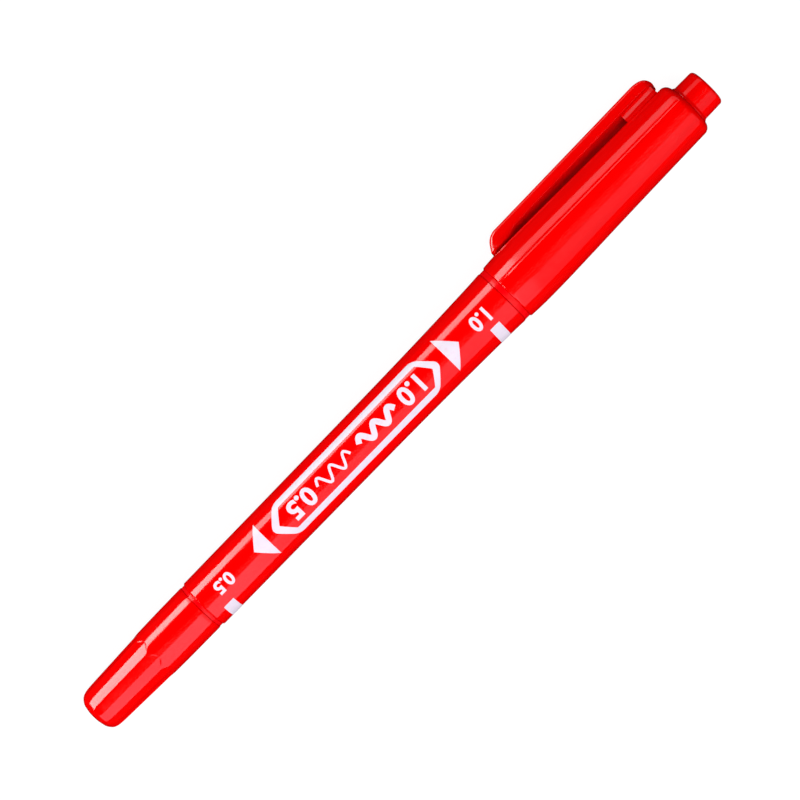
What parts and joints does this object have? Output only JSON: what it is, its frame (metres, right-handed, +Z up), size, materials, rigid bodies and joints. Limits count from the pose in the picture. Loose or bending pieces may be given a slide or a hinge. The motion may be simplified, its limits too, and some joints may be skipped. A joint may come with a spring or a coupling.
{
  "type": "twin-tip permanent marker",
  "caption": "Twin-tip permanent marker with a fine nib under a large clip cap and an extra fine nib under a small faceted cap, in glossy red plastic",
  "frame": {"origin": "centre of the bounding box's bottom, so the marker lies on z = 0 on its large cap and the edge of its clip", "axes": "+X along the marker's axis from the small cap to the large cap's knob, +Y towards the clip, +Z up"},
  "size_m": [0.14, 0.0142, 0.0111],
  "materials": {
    "barrel": "glossy injection-moulded red polypropylene",
    "ink_reservoir": "ink-soaked polyester fibre bundle",
    "reservoir_film": "thin clear film sleeve round the fibre bundle",
    "fine_nib_holder": "satin moulded red plastic",
    "fine_nib": "bonded fibre soaked with red ink",
    "extra_fine_nib_holder": "satin moulded red plastic",
    "extra_fine_nib": "bonded fibre soaked with red ink",
    "fine_cap_shell": "glossy injection-moulded red polypropylene",
    "clip_arm": "glossy injection-moulded red polypropylene",
    "fine_cap_liner": "natural translucent polyethylene",
    "cap_end_plug": "glossy injection-moulded red polypropylene",
    "extra_fine_cap_shell": "glossy injection-moulded red polypropylene",
    "extra_fine_cap_liner": "natural translucent polyethylene"
  },
  "bodies": {
    "barrel": {"barrel": "barrel", "ink_reservoir": "ink_reservoir", "reservoir_film": "reservoir_film", "fine_nib_holder": "fine_nib_holder", "fine_nib": "fine_nib", "extra_fine_nib_holder": "extra_fine_nib_holder", "extra_fine_nib": "extra_fine_nib"},
    "fine_cap": {"fine_cap_shell": "fine_cap_shell", "fine_cap_liner": "fine_cap_liner", "cap_end_plug": "cap_end_plug"},
    "clip": {"clip_arm": "clip_arm"},
    "extra_fine_cap": {"extra_fine_cap_shell": "extra_fine_cap_shell", "extra_fine_cap_liner": "extra_fine_cap_liner"}
  },
  "joints": [
    {"name": "fine_cap_pull", "type": "slide", "parent": "barrel", "child": "fine_cap", "axis": [1, 0, 0], "range_m": [0, 0.035]},
    {"name": "extra_fine_cap_pull", "type": "slide", "parent": "barrel", "child": "extra_fine_cap", "axis": [-1, 0, 0], "range_m": [0, 0.025]},
    {"name": "clip_flex", "type": "hinge", "parent": "fine_cap", "child": "clip", "pos_m": [0.05695, 0.00526, 0.00247], "axis": [0, -0.4142, -0.9102], "range_deg": [0, 4], "stiffness_Nm_per_rad": 0.6}
  ]
}
